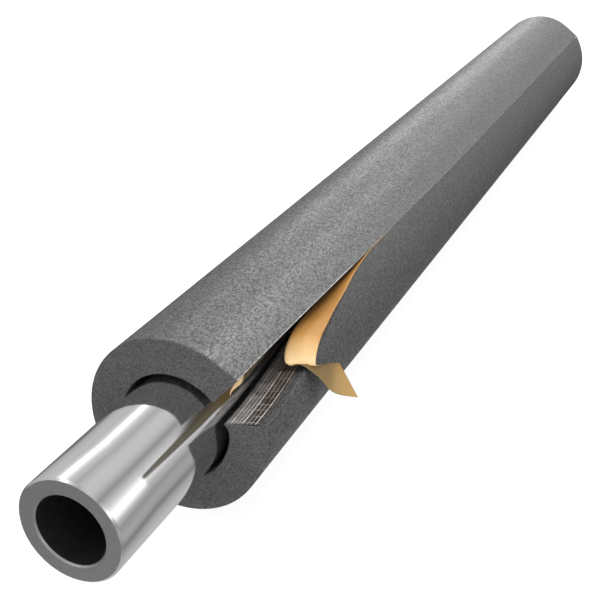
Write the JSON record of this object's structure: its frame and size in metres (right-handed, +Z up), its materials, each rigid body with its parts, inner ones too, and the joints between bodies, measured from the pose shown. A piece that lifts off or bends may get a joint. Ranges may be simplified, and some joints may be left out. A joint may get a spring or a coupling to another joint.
{
  "type": "pipe insulation lagging",
  "caption": "Split foam pipe insulation fitted on a steel pipe, its slit spread open at one end to show the adhesive strip and the folded release liner.",
  "frame": {"origin": "under the middle of the foam tube, on the narrow flat of the faceted tube that it rests on", "axes": "+Y along the tube, from the open end with the pipe sticking out towards the plain end; +Z up; the slit is on the upper +X side"},
  "size_m": [0.0853, 0.663, 0.0689],
  "materials": {
    "foam": "closed-cell polyethylene foam, grey, matte, fine grain",
    "adhesive": "pressure-sensitive glue with a pale thread mesh, dark brown, glossy",
    "release_film": "gold-tinted release film, satin",
    "polished_steel": "polished steel, mirror-like outside, plain cut ends"
  },
  "bodies": {
    "root": {"foam_tube": "foam", "adhesive_strip": "adhesive", "release_liner": "release_film", "steel_pipe": "polished_steel"}
  },
  "joints": []
}
